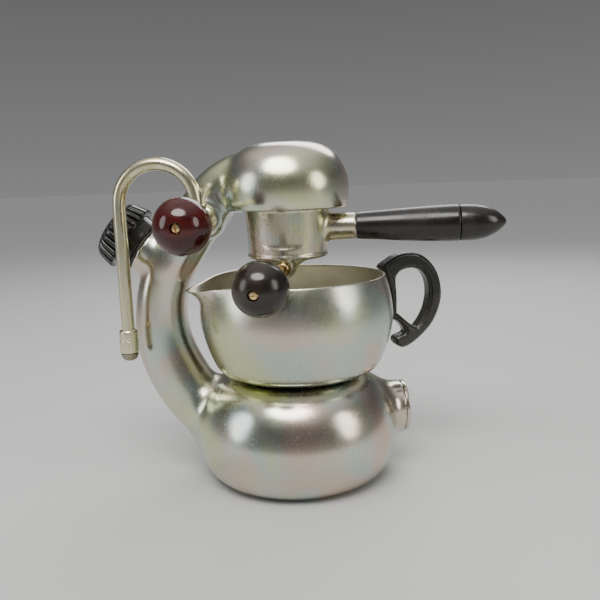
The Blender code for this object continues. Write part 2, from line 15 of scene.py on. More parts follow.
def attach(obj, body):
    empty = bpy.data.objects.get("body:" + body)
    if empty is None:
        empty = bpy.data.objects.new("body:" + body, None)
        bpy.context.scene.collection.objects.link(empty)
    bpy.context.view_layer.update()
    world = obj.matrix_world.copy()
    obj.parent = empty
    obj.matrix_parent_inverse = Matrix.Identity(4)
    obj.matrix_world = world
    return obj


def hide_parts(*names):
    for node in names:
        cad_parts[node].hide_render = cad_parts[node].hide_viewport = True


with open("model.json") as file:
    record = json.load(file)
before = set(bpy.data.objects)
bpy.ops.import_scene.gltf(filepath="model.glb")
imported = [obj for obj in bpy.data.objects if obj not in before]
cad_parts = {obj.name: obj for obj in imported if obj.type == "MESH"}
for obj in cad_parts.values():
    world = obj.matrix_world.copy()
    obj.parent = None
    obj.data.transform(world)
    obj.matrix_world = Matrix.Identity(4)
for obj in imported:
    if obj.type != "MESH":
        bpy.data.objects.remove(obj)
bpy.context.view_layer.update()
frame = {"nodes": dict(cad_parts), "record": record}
MM = 0.001

# --- camera ---------------------------------------------------------------------
CAMERA_AT = (0.050, -0.5136, 0.220)
CAMERA_TURN, CAMERA_DOWN, CAMERA_ROLL = 5.0, 9.85, 2.0     # degrees
CAMERA_LENS = 42.8


def make_camera():
    a, p, r = (math.radians(v) for v in (CAMERA_TURN, CAMERA_DOWN, CAMERA_ROLL))
    look = Vector((-math.sin(a) * math.cos(p), math.cos(a) * math.cos(p), -math.sin(p)))
    level = Vector((math.cos(a), math.sin(a), 0))
    upright = level.cross(look)
    right = level * math.cos(r) - upright * math.sin(r)
    up = level * math.sin(r) + upright * math.cos(r)
    cam = bpy.data.objects.new("camera", bpy.data.cameras.new("camera"))
    bpy.context.scene.collection.objects.link(cam)
    rot = Matrix((right, up, -look)).transposed().to_4x4()
    cam.matrix_world = Matrix.Translation(CAMERA_AT) @ rot
    cam.data.lens = CAMERA_LENS
    cam.data.sensor_width = 36
    cam.data.clip_start = 0.01
    bpy.context.scene.camera = cam


make_camera()

# --- dimensions, the same as the CAD model's, in millimetres and degrees -----------------
# Outlines are (radius, height). The arm's spine is (x, z) with its half widths.
BOWL = [(44, 76), (49.5, 75.1), (54, 73.2), (58.2, 70.3), (62.3, 66.3), (66.2, 60.8),
        (69.5, 54), (72.4, 45), (73.9, 36), (73.45, 26.5), (71, 16.5), (66.6, 8.2), (61.5, 3.2),
        (56.4, 0.9)]
BOSS_AZ, BOSS_Z = 12.0, 44.5
SPINE = [(-51, 31), (-74, 53.4), (-83.3, 67.8), (-91.8, 83), (-97, 98), (-99.1, 113),
         (-98.4, 131), (-95, 145.5), (-87.5, 160.5), (-78.5, 175), (-69, 188.4), (-57.6, 204.2),
         (-38.8, 217), (-16, 219.5)]
SPINE_A = [18, 20.5, 21, 20.9, 20.2, 19.2, 18, 18, 17.6, 17.5, 17.5, 18.8, 21.4, 21]
SPINE_B = [24, 23.5, 22.6, 21.6, 21, 20.5, 20.3, 20.2, 20.2, 20.2, 20.4, 21, 22, 22.5]
BAY_X, RIM_Z = -44.0, 197.2            # the open bay under the head starts here
CAP_C = (-114.4, 0, 176.4)
CAP_AXIS = (-0.81, 0, 0.587)
GROUP_X = -2.5
HEAD = [(0, 244.4), (12, 244.2), (21.5, 243), (29.5, 240), (36, 235.2), (40.6, 228.6),
        (43.9, 221), (45.2, 213), (44.6, 204), (43.4, 198.9)]
SOCKET = [(0, 190), (31, 190), (31, 201), (34.6, 201), (34.6, 211), (0, 211)]
SLOT_AT = 120.0
CUP_OUT = [(0, 206), (30.2, 206), (30.2, 198), (29.5, 196.2), (28.3, 166.2), (29.3, 164.9),
           (29, 163.7), (27, 162.9), (10, 159.2), (0, 158.8)]
CUP_IN = [(0, 210), (26.9, 210), (26.9, 207.5), (26.2, 169.4), (24.9, 167.7), (8, 166.6),
          (0, 166.4)]
BEAK = [(-2.5, -15, 13.5, 12.4, 168), (-2.5, -16.4, 11.5, 11.4, 163.5),
        (-2.7, -17.6, 9.4, 10.4, 159.5), (-3, -18.6, 7.8, 9.4, 155.5),
        (-3, -19, 6, 8, 152.4), (-3, -19, 4.4, 6, 150.9)]
TAP_AT = (-3.3, -27.6, 157.4)
TAP_TO = (-11.5, -85.5, 152.5)
ARM_Z = 183.8
GRIP = [(12.75, 119.6), (13.1, 117), (12.9, 108), (12.2, 92), (11.3, 76), (10.4, 62),
        (9.8, 52), (9.4, 47.8)]
GRIP_CAP = [(0, 152.4), (1.9, 152), (4.1, 150.1), (6.6, 147.2), (9.1, 143.3), (11.3, 137.8),
            (12.6, 131), (13, 124)]
BALL_R = 18.0
STEAM_AT = (-58.1, 0, 192.1)
STEAM_BALL_Y = -84.7
PIPE_Y, PIPE_ROOT_X, PIPE_LEG_X = -31.5, -60.8, -114.8
PIPE_TOP, PIPE_SPRING, PIPE_LOW, PIPE_R = 231.6, 205.0, 112.0, 4.5
JUG_X, JUG_AZ, JUG_WALL = 2.5, 20.0, 1.6
JUG = [(2, 76.3), (20, 76.3), (40, 76.4), (47, 77.7), (54, 80.4), (59.4, 84.2), (63.4, 92),
       (67, 102), (69.6, 113), (70.2, 122), (69, 133), (67, 142), (65, 148.3)]
RING = [(64.8, 149.2), (65.2, 152), (71, 155.7), (78, 159.4), (87, 160.8), (95.5, 159.3),
        (102.4, 154.9), (108.2, 148.4), (111.9, 140.8), (113.8, 132), (113.8, 124), (111.8, 116.3),
        (107.5, 107.1), (100.5, 98.9), (90.7, 91.3), (83, 88), (78, 89.4), (75.4, 92.8),
        (75.8, 96), (79, 97.6), (84, 100), (79.5, 107), (75.4, 110.2), (71.4, 110.8),
        (71.2, 122), (70.8, 129.5), (69.4, 137.8), (67.6, 144.4), (65.9, 149)]
RING_HOLE = [(77.2, 115.8), (77.3, 128), (76.6, 138), (77, 143), (79.8, 146.6), (85, 148.6),
             (91.3, 148.7), (97.4, 146.2), (101.9, 140.4), (103.8, 132), (103.4, 123.3),
             (100.4, 113.6), (94, 104.4), (90, 104.4), (78.4, 114.4)]
RIVET_Z = (140.5, 121.0)


# --- lines and profiles -------------------------------------------------------------
def smooth(points, per=8, closed=False):
    """A Catmull-Rom line through points, with per steps between each two."""
    pts = np.array(points, float)
    if closed:
        pts = np.vstack([pts[-1], pts, pts[0], pts[1]])
    else:
        pts = np.vstack([2 * pts[0] - pts[1], pts, 2 * pts[-1] - pts[-2]])
    out = []
    for i in range(1, len(pts) - 2):
        p0, p1, p2, p3 = pts[i - 1:i + 3]
        for t in np.arange(per) / per:
            out.append(0.5 * (2 * p1 + (p2 - p0) * t + (2 * p0 - 5 * p1 + 4 * p2 - p3) * t * t
                              + (3 * p1 - p0 - 3 * p2 + p3) * t ** 3))
    if not closed:
        out.append(pts[-2])
    return [tuple(p) for p in out]


def soften(points, radius, per=4):
    """The corners of an open line, rounded."""
    out = [tuple(points[0])]
    for a, b, c in zip(points, points[1:], points[2:]):
        a, b, c = (Vector(p) for p in (a, b, c))
        back, ahead = (a - b), (c - b)
        cut = min(radius, 0.45 * back.length, 0.45 * ahead.length)
        p, q = b + back.normalized() * cut, b + ahead.normalized() * cut
        for i in range(per + 1):
            t = i / per
            out.append(tuple(p * (1 - t) ** 2 + b * 2 * t * (1 - t) + q * t * t))
    out.append(tuple(points[-1]))
    return out


class Profile:
    """Signed distance to an outline in (radius, height), read from a fine table."""

    def __init__(self, points, step=0.35, pad=18.0, closed=False):
        pts = np.array(points, float)
        self.step = step
        self.lo = pts.min(0) - pad
        size = ((pts.max(0) + pad - self.lo) / step).astype(int) + 2
        q = self.lo[0] + step * np.arange(size[0])
        s = self.lo[1] + step * np.arange(size[1])
        gq, gs = np.meshgrid(q, s, indexing="ij")
        dist = np.full(gq.shape, 1e9)
        inside = np.zeros(gq.shape, bool)
        ends = np.roll(pts, -1, 0)
        for i, (a, b) in enumerate(zip(pts, ends)):
            if closed or i < len(pts) - 1:
                d = b - a
                t = ((gq - a[0]) * d[0] + (gs - a[1]) * d[1]) / max(d @ d, 1e-12)
                t = np.clip(t, 0, 1)
                dist = np.minimum(dist, (gq - a[0] - t * d[0]) ** 2 + (gs - a[1] - t * d[1]) ** 2)
            if a[1] != b[1]:
                hit = (a[1] > gs) != (b[1] > gs)
                at = a[0] + (gs - a[1]) * (b[0] - a[0]) / (b[1] - a[1])
                inside ^= hit & (gq < at)
        self.table = np.where(inside, -1, 1) * np.sqrt(dist)

    def __call__(self, q, s):
        u = (q - self.lo[0]) / self.step
        v = (s - self.lo[1]) / self.step
        cu = np.clip(u, 0, self.table.shape[0] - 1.001)
        cv = np.clip(v, 0, self.table.shape[1] - 1.001)
        i, j = cu.astype(int), cv.astype(int)
        fu, fv = cu - i, cv - j
        t = self.table
        low = t[i, j] * (1 - fu) + t[i + 1, j] * fu
        high = t[i, j + 1] * (1 - fu) + t[i + 1, j + 1] * fu
        return low * (1 - fv) + high * fv + np.hypot(u - cu, v - cv) * self.step


def turned_field(points, **kw):
    """A solid of revolution: its outline from the axis round to the axis again."""
    mirror = [(-r, z) for r, z in reversed(points) if r > 0]
    return Profile(list(points) + mirror, closed=True, **kw)


def axial(p, origin, direction):
    """Distance from an axis and the place along it, for each point."""
    d = np.array(direction, float)
    d /= np.linalg.norm(d)
    v = p - np.array(origin, float)
    along = v @ d
    return np.sqrt(np.maximum((v * v).sum(1) - along * along, 0)), along


def smin(a, b, k):
    """The nearer of two distances, blended over k where they are alike."""
    h = np.clip(0.5 + 0.5 * (b - a) / k, 0, 1)
    return b + (a - b) * h - k * h * (1 - h)


def smax(a, b, k):
    return -smin(-a, -b, k)


def block(p, low, high, soft=0.3):
    """Signed distance to a box with softened edges."""
    low, high = np.array(low, float), np.array(high, float)
    d = np.abs(p - (low + high) / 2) - (high - low) / 2 + soft
    outside = np.sqrt((np.maximum(d, 0) ** 2).sum(1))
    return outside + np.minimum(d.max(1), 0) - soft


# --- surfaces from fields -----------------------------------------------------------
def surface(field, low, high, step):
    """Vertices and quads of the field's zero surface, by surface nets, then drawn onto it."""
    low = np.array(low, float) - 2 * step
    n = np.ceil((np.array(high, float) + 2 * step - low) / step).astype(int) + 1
    c = 4
    nc = n // c + 2
    axes = [low[k] + step * c * np.arange(nc[k]) for k in range(3)]
    grid = np.stack(np.meshgrid(*axes, indexing="ij"), -1).reshape(-1, 3)
    rough = field(grid).reshape(nc)
    pick = np.ix_(*[(np.arange(n[k]) + c // 2) // c for k in range(3)])
    value = rough[pick].astype(np.float32)
    near = np.abs(value) < 1.35 * c * step
    at = np.argwhere(near)
    found = np.empty(len(at), np.float32)
    for i in range(0, len(at), 400000):
        found[i:i + 400000] = field(low + step * at[i:i + 400000])
    value[near] = found
    inside = value < 0
    count = sum(inside[i:n[0] - 1 + i, j:n[1] - 1 + j, k:n[2] - 1 + k].astype(np.int8)
                for i in (0, 1) for j in (0, 1) for k in (0, 1))
    cells = np.argwhere((count > 0) & (count < 8))
    total = np.zeros((len(cells), 3))
    hits = np.zeros(len(cells))
    for axis in range(3):
        others = [k for k in range(3) if k != axis]
        for u in (0, 1):
            for v in (0, 1):
                a = cells.copy()
                a[:, others[0]] += u
                a[:, others[1]] += v
                b = a.copy()
                b[:, axis] += 1
                va, vb = value[tuple(a.T)], value[tuple(b.T)]
                cross = (va < 0) != (vb < 0)
                t = np.where(cross, va / np.where(cross, va - vb, 1), 0)
                point = a.astype(float)
                point[:, axis] += t
                total += point * cross[:, None]
                hits += cross
    verts = low + step * total / hits[:, None]
    index = np.full(n - 1, -1, np.int32)
    index[tuple(cells.T)] = np.arange(len(cells))
    quads = []
    for axis in range(3):
        ahead = [slice(None)] * 3
        ahead[axis] = slice(1, None)
        here = [slice(None)] * 3
        here[axis] = slice(None, -1)
        change = inside[tuple(here)] != inside[tuple(ahead)]
        edges = np.argwhere(change)
        o1, o2 = [k for k in range(3) if k != axis]
        edges = edges[(edges[:, o1] > 0) & (edges[:, o2] > 0)]
        out = inside[tuple(edges.T)]
        ring = []
        for u, v in ((1, 1), (0, 1), (0, 0), (1, 0)):
            cell = edges.copy()
            cell[:, o1] -= u
            cell[:, o2] -= v
            ring.append(index[tuple(cell.T)])
        quad = np.stack(ring, 1)
        flip = out if axis == 1 else ~out
        quad[flip] = quad[flip][:, ::-1]
        quads.append(quad)
    for _ in range(3):
        f, g = field(verts), slope(field, verts, step * 0.15)
        move = f[:, None] * g / np.maximum((g * g).sum(1), 0.2)[:, None]
        size = np.sqrt((move * move).sum(1))[:, None]
        verts = verts - move * np.minimum(1, 0.6 * step / np.maximum(size, 1e-9))
    return verts, np.vstack(quads)


def slope(field, p, e):
    """The field's gradient, from steps of e to either side."""
    out = np.empty_like(p)
    for k in range(3):
        d = np.zeros(3)
        d[k] = e
        out[:, k] = (field(p + d) - field(p - d)) / (2 * e)
    return out


# --- making pieces ------------------------------------------------------------------
def piece(name, verts, faces, look, body, nodes, at=None, slot=None, sharp=40, marks=None):
    """A mesh from points in millimetres, riding on a body and standing for CAD nodes.

    Its finish comes from the look; the slot argument is not used.
    """
    slot = slot or look
    mesh = bpy.data.meshes.new(name)
    mesh.from_pydata((np.asarray(verts, float) * MM).tolist(), [], [list(f) for f in faces])
    mesh.validate()
    if at is not None:
        mesh.transform(at)
    for key, values in (marks or {}).items():
        mesh.attributes.new(key, "FLOAT", "POINT").data.foreach_set("value", values)
    mesh.shade_smooth()
    if sharp:
        mesh.set_sharp_from_angle(angle=math.radians(sharp))
    obj = bpy.data.objects.new(name, mesh)
    bpy.context.scene.collection.objects.link(obj)
    mesh.materials.append(LOOKS[look])
    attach(obj, body)
    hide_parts(*nodes)
    return obj


def moved(x, y, z):
    """A plain move, from millimetres."""
    return Matrix.Translation(Vector((x, y, z)) * MM)


def aim(origin, direction):
    """A frame at a point whose Z runs along a direction."""
    z = Vector(direction).normalized()
    side = Vector((0, 1, 0)) if abs(z.y) < 0.9 else Vector((1, 0, 0))
    x = side.cross(z).normalized()
    rot = Matrix((x, z.cross(x), z)).transposed().to_4x4()
    return moved(*origin) @ rot


def spun(profile, segs=96, closed=False, bend=None):
    """Points and faces of an outline turned about Z, from the outer top round to the bottom.

    bend gives the radius and height that a point really has, from its own and its turn.
    """
    verts, rows, faces = [], [], []
    for r, z in profile:
        if r < 1e-6:
            rows.append([len(verts)] * segs)
            verts.append((0.0, 0.0, z))
            continue
        rows.append(list(range(len(verts), len(verts) + segs)))
        for i in range(segs):
            t = math.tau * i / segs
            out, up = (r, z) if bend is None else bend(r, z, t)
            verts.append((out * math.cos(t), out * math.sin(t), up))
    pairs = list(zip(rows, rows[1:])) + ([(rows[-1], rows[0])] if closed else [])
    for a, b in pairs:
        for i in range(segs):
            j = (i + 1) % segs
            ring = [a[i], b[i], b[j], a[j]]
            ring = [v for k, v in enumerate(ring) if v != ring[k - 1]]
            if len(ring) > 2:
                faces.append(ring)
    return verts, faces


def turned(name, profile, look, body, nodes, at=None, segs=96, closed=False, bend=None,
           slot=None, sharp=40):
    verts, faces = spun(profile, segs, closed, bend)
    return piece(name, verts, faces, look, body, nodes, at, slot, sharp)


# --- materials ----------------------------------------------------------------------
class Graph:
    """A Principled material and the nodes that feed it."""

    def __init__(self, name, rough=0.3, metal=0.0, **sockets):
        self.mat = bpy.data.materials.new(name)
        self.mat.use_nodes = True
        self.tree = self.mat.node_tree
        self.bsdf = self.tree.nodes["Principled BSDF"]
        self.bsdf.inputs["Metallic"].default_value = metal
        self.bsdf.inputs["Roughness"].default_value = rough
        for key, value in sockets.items():
            self.bsdf.inputs[key.replace("_", " ")].default_value = value
        self.coord = self.node("ShaderNodeTexCoord").outputs["Object"]
        LOOKS[name] = self.mat

    def node(self, kind, inputs=None, **props):
        made = self.tree.nodes.new(kind)
        for key, value in props.items():
            setattr(made, key, value)
        for key, value in (inputs or {}).items():
            if isinstance(value, bpy.types.NodeSocket):
                self.tree.links.new(value, made.inputs[key])
            else:
                made.inputs[key].default_value = value
        return made

    def place(self, scale=(1, 1, 1), turn=(0, 0, 0), shift=(0, 0, 0)):
        made = self.node("ShaderNodeMapping", {"Vector": self.coord, "Scale": scale,
                                               "Rotation": turn, "Location": shift})
        return made.outputs["Vector"]

    def noise(self, scale, detail=3.0, where=None, rough=0.55, warp=0.0):
        made = self.node("ShaderNodeTexNoise", {"Vector": where or self.coord, "Scale": scale,
                                                "Detail": detail, "Roughness": rough,
                                                "Distortion": warp})
        return made.outputs["Fac"]

    def span(self, value, a, b, lo=0.0, hi=1.0):
        made = self.node("ShaderNodeMapRange", {"Value": value, "From Min": a, "From Max": b,
                                                "To Min": lo, "To Max": hi})
        return made.outputs["Result"]

    def math(self, operation, a, b=0.0):
        return self.node("ShaderNodeMath", {0: a, 1: b}, operation=operation).outputs[0]

    def mix(self, share, a, b, blend="MIX"):
        a, b = (v if isinstance(v, bpy.types.NodeSocket) else (*v, 1) for v in (a, b))
        made = self.node("ShaderNodeMix", {0: share, 6: a, 7: b}, data_type="RGBA",
                         blend_type=blend)
        return made.outputs[2]

    def pits(self, scale, size, where=None):
        made = self.node("ShaderNodeTexVoronoi", {"Vector": where or self.coord, "Scale": scale})
        return self.span(made.outputs["Distance"], size, size * 0.45)

    def along(self, axis):
        return self.node("ShaderNodeSeparateXYZ", {"Vector": self.coord}).outputs[axis]

    def mark(self, name):
        return self.node("ShaderNodeAttribute", attribute_name=name).outputs["Fac"]

    def end(self, colour, rough=None, height=None, depth=0.0002, strength=0.4):
        self.tree.links.new(colour, self.bsdf.inputs["Base Color"])
        if rough is not None:
            self.tree.links.new(rough, self.bsdf.inputs["Roughness"])
        if height is not None:
            made = self.node("ShaderNodeBump", {"Height": height, "Distance": depth,
                                                "Strength": strength})
            self.tree.links.new(made.outputs["Normal"], self.bsdf.inputs["Normal"])
        return self.mat


LOOKS = {}


def scratches(g, fine=2600.0, runs=((0.3, 0.2, 0.4), (1.2, 0.5, -0.9), (-0.7, 1.1, 0.3))):
    """Thin straight marks in a few directions, 0 to 1."""
    total = None
    for turn in runs:
        line = g.noise(1.0, 1.0, g.place((fine, fine * 0.9, fine * 0.03), turn))
        patch = g.noise(45.0, 2.0, g.place((1, 1, 1), turn, turn))
        line = g.math("MULTIPLY", g.span(line, 0.66, 0.76), g.span(patch, 0.48, 0.66))
        total = line if total is None else g.math("MAXIMUM", total, line)
    return total


def aged_metal(name, base, tints, rough=(0.2, 0.34), grime=(0.2, 0.17, 0.12), pit=0.0,
               streak=None, crease=False, satin=0.0, tint_scale=13.0, haze_amount=0.25):
    """Polished metal handled for years: smudges, scratches, pits, tints and painted reflections.
    """
    g = Graph(name, metal=1.0)
    # tint patches: partly the metal's own tints, partly painted reflections of coloured
    # surroundings
    wide = g.noise(tint_scale, 2.0, warp=0.8)
    other = g.noise(tint_scale * 1.7, 2.0, g.place(shift=(0.31, 0.12, 0.77)), warp=0.6)
    colour = g.mix(g.span(wide, 0.44, 0.62), base, tints[0])
    colour = g.mix(g.span(other, 0.5, 0.66), colour, tints[1])
    colour = g.mix(g.span(wide, 0.47, 0.32), colour, tints[2])
    haze = g.noise(34.0, 3.0, warp=1.0)
    level = g.span(haze, 0.3, 0.7, rough[0], rough[1])
    blotch = g.noise(420.0, 3.0)
    level = g.math("ADD", level, g.span(blotch, 0.5, 0.8, 0.0, 0.025 + satin))
    lines = scratches(g)
    level = g.math("ADD", level, g.math("MULTIPLY", lines, 0.1))
    dull = g.math("MULTIPLY", g.span(haze, 0.5, 0.8), haze_amount)
    colour = g.mix(dull, colour, tuple(0.82 * c for c in base))
    height = g.math("ADD", g.math("MULTIPLY", g.noise(260.0, 2.0), 0.5),
                    g.math("MULTIPLY", lines, -0.5))
    if pit:
        spots = g.pits(330.0, 0.27) if pit >= 1 else g.pits(420.0, 0.2)
        where = g.span(g.noise(70.0, 3.0), 0.62 - 0.2 * pit, 0.75 - 0.2 * pit)
        if streak:
            where = g.math("MULTIPLY", where, g.span(g.along("X"), 0.008, -0.012))
        spots = g.math("MULTIPLY", spots, where)
        colour = g.mix(spots, colour, grime)
        level = g.math("ADD", level, g.math("MULTIPLY", spots, 0.3))
        height = g.math("SUBTRACT", height, g.math("MULTIPLY", spots, 1.6))
    if streak:
        run = g.noise(1.0, 4.0, g.place(streak))
        colour = g.mix(g.span(run, 0.5, 0.72, 0.0, 0.7), colour, tints[3])
        # painted glow: lighter yellow-green streaks on the +X side only, a painted reflection of
        # light falling on that side
        painted_glow = g.noise(1.0, 3.0, g.place(tuple(0.6 * v for v in streak), shift=(3.1, 1.7, 0.4)))
        painted_glow = g.math("MULTIPLY", g.span(painted_glow, 0.46, 0.62), g.span(g.along("X"), -0.004, 0.012))
        colour = g.mix(g.math("MULTIPLY", painted_glow, 0.8), colour, (0.60, 0.62, 0.34))
        level = g.math("ADD", level, g.span(run, 0.45, 0.7, 0.0, 0.12))
    if crease:
        dirt = g.math("MULTIPLY", g.mark("crease"), g.span(g.noise(120.0, 4.0), 0.42, 0.7))
        colour = g.mix(g.math("MULTIPLY", dirt, 0.42), colour, grime)
        level = g.math("ADD", level, g.math("MULTIPLY", dirt, 0.12))
    return g.end(colour, level, height, 0.00012, 0.25)


def bakelite(name, base, worn, rough=(0.1, 0.26), worn_share=0.5, swirl=None):
    """Polished moulded phenolic, rubbed dull where it is held."""
    g = Graph(name, IOR=1.5)
    cloud = g.noise(38.0, 4.0, warp=0.7)
    colour = g.mix(g.span(cloud, 0.42, 0.72, 0.0, worn_share), base, worn)
    if swirl:
        band = g.noise(26.0, 3.0, g.place((1, 1, 2.6), (0.4, 0.2, 0)), warp=2.2)
        colour = g.mix(g.span(band, 0.45, 0.68, 0.0, 0.8), colour, swirl)
    dust = g.pits(900.0, 0.13)
    dust = g.math("MULTIPLY", dust, g.span(g.noise(120.0, 2.0), 0.5, 0.7))
    colour = g.mix(g.math("MULTIPLY", dust, 0.35), colour, (0.3, 0.27, 0.22))
    lines = scratches(g, 3200.0)
    level = g.span(g.noise(75.0, 4.0, warp=0.8), 0.35, 0.72, rough[0], rough[1])
    level = g.math("ADD", level, g.math("MULTIPLY", lines, 0.15))
    height = g.math("ADD", g.math("MULTIPLY", g.noise(500.0, 3.0), 0.3),
                    g.math("MULTIPLY", lines, -0.5))
    return g.end(colour, level, height, 0.0001, 0.3)


def make_looks():
    # rose, teal and olive: partly tints of the aged metal, partly painted reflections of coloured
    # surroundings; stain is real staining
    rose, teal, olive, stain = ((0.63, 0.50, 0.42), (0.49, 0.57, 0.52), (0.59, 0.61, 0.35),
                                (0.42, 0.36, 0.20))
    base = (0.57, 0.565, 0.46)
    aged_metal("cast_aluminium", base, [rose, teal, olive], (0.19, 0.27),
               grime=(0.40, 0.34, 0.22), pit=0.3, crease=True)
    aged_metal("holder_aluminium", (0.56, 0.545, 0.43), [rose, teal, olive, stain],
               (0.19, 0.29), grime=(0.14, 0.12, 0.09), pit=1.0, streak=(240, 240, 20),
               crease=True, tint_scale=34.0)
    aged_metal("spun_aluminium", (0.58, 0.575, 0.475), [rose, teal, olive], (0.23, 0.32),
               pit=0.15, satin=0.02, tint_scale=11.0)
    aged_metal("jug_inside", (0.60, 0.58, 0.49), [(0.60, 0.56, 0.45), (0.53, 0.52, 0.44),
                                                  (0.58, 0.57, 0.43)], (0.46, 0.58), pit=0.35)
    aged_metal("pipe_nickel", (0.72, 0.69, 0.50), [(0.70, 0.63, 0.38), (0.66, 0.67, 0.52),
                                                   (0.64, 0.60, 0.38), (0.50, 0.44, 0.27)],
               (0.15, 0.25), pit=0.3, streak=(260, 260, 12), tint_scale=30.0)
    aged_metal("nozzle_dark", (0.34, 0.31, 0.26), [(0.3, 0.25, 0.18), (0.36, 0.35, 0.33),
                                                   (0.28, 0.25, 0.19)], (0.32, 0.5), pit=0.8,
               tint_scale=60.0)
    aged_metal("brass", (0.80, 0.62, 0.30), [(0.74, 0.52, 0.24), (0.78, 0.66, 0.38),
                                             (0.56, 0.40, 0.18)], (0.2, 0.36),
               grime=(0.18, 0.11, 0.05), pit=0.8, tint_scale=90.0)
    aged_metal("pressed_steel", (0.60, 0.60, 0.59), [(0.62, 0.6, 0.56), (0.56, 0.58, 0.6),
                                                     (0.5, 0.49, 0.47)], (0.24, 0.4), pit=0.4,
               tint_scale=50.0)
    bakelite("black_bakelite", (0.007, 0.0065, 0.0055), (0.022, 0.019, 0.014), (0.12, 0.24))
    bakelite("knob_bakelite", (0.0080, 0.0062, 0.0050), (0.034, 0.023, 0.015), (0.14, 0.28), 0.8)
    bakelite("jug_bakelite", (0.012, 0.0115, 0.009), (0.042, 0.040, 0.030), (0.2, 0.34), 0.8)
    bakelite("handle_bakelite", (0.008, 0.0065, 0.0055), (0.026, 0.020, 0.015), (0.2, 0.38), 0.6)
    bakelite("red_bakelite", (0.040, 0.0034, 0.0030), (0.070, 0.0066, 0.0048), (0.06, 0.15), 0.6,
             swirl=(0.024, 0.0022, 0.0022))
    g = Graph("rubber_seal", rough=0.7)
    dust = g.noise(240.0, 4.0)
    g.end(g.mix(g.span(dust, 0.4, 0.7), (0.03, 0.027, 0.025), (0.09, 0.08, 0.07)),
          g.span(dust, 0.3, 0.7, 0.55, 0.8), g.noise(900.0, 3.0), 0.0001, 0.5)


# --- the casting: bowl, column, head, as one skin --------------------------------------
def spread(values, per):
    """Values eased along the same steps as a smooth line."""
    return np.array(smooth([(v, 0) for v in values], per))[:, 0]


def blurred(values, width):
    """A line of values, smoothed along its length."""
    pad = 3 * width
    span = np.arange(-pad, pad + 1)
    weights = np.exp(-0.5 * (span / width) ** 2)
    weights /= weights.sum()
    v = np.asarray(values, float)
    first = 2 * v[0] - v[1:pad + 1][::-1]
    last = 2 * v[-1] - v[-pad - 1:-1][::-1]
    return np.convolve(np.concatenate([first, v, last]), weights, "valid")


class Arm:
    """A soft-cornered oval swept along a curve in the XZ plane."""

    def __init__(self, spine, half_a, half_b, per=14, width=8, step=0.7):
        line = np.array(smooth(spine, per))
        line = np.stack([blurred(line[:, 0], width), blurred(line[:, 1], width)], 1)
        a, b = blurred(spread(half_a, per), width), blurred(spread(half_b, per), width)
        along = np.gradient(line, axis=0)
        along /= np.linalg.norm(along, axis=1)[:, None]
        self.lo, self.step = np.array([-150.0, -10.0]), step
        gx = np.arange(self.lo[0], 40, step)
        gz = np.arange(self.lo[1], 270, step)
        x, z = (v.ravel() for v in np.meshgrid(gx, gz, indexing="ij"))
        self.shape = (len(gx), len(gz))
        keep = []
        for i in range(0, len(x), 20000):
            px, pz = x[i:i + 20000], z[i:i + 20000]
            d = (px[:, None] - line[:, 0]) ** 2 + (pz[:, None] - line[:, 1]) ** 2
            k = d.argmin(1)
            shift = ((px - line[k, 0]) * along[k, 0] + (pz - line[k, 1]) * along[k, 1])
            step_len = np.linalg.norm(line[np.minimum(k + 1, len(line) - 1)]
                                      - line[np.maximum(k - 1, 0)], axis=1) / 2
            t = np.clip(k + shift / np.maximum(step_len, 1e-6), 0, len(line) - 1)
            index = np.arange(len(line))
            cx, cz = np.interp(t, index, line[:, 0]), np.interp(t, index, line[:, 1])
            tx, tz = np.interp(t, index, along[:, 0]), np.interp(t, index, along[:, 1])
            u = (px - cx) * tz - (pz - cz) * tx
            over = np.abs((px - cx) * tx + (pz - cz) * tz)
            keep.append(np.stack([u, over, np.interp(t, index, a), np.interp(t, index, b)], 1))
        self.table = np.vstack(keep).reshape(*self.shape, 4)

    def __call__(self, p, power=2.3):
        u = np.clip((p[:, 0] - self.lo[0]) / self.step, 0, self.shape[0] - 1.001)
        v = np.clip((p[:, 2] - self.lo[1]) / self.step, 0, self.shape[1] - 1.001)
        i, j = u.astype(int), v.astype(int)
        fu, fv = (u - i)[:, None], (v - j)[:, None]
        t = self.table
        got = ((t[i, j] * (1 - fu) + t[i + 1, j] * fu) * (1 - fv)
               + (t[i, j + 1] * (1 - fu) + t[i + 1, j + 1] * fu) * fv)
        off, over, a, b = got.T
        au, ay = np.abs(off) / a, np.abs(p[:, 1]) / b
        s = np.maximum((au ** power + ay ** power), 1e-9) ** (1 / power)
        ga, gb = (au / s) ** (power - 1) / a, (ay / s) ** (power - 1) / b
        dist = (s - 1) / np.maximum(np.hypot(ga, gb), 1e-3)
        return np.maximum(dist, 0) + over * (over > 0.5) + np.minimum(dist, 0)


def boss_direction():
    az = math.radians(BOSS_AZ)
    return math.cos(az), math.sin(az), 0


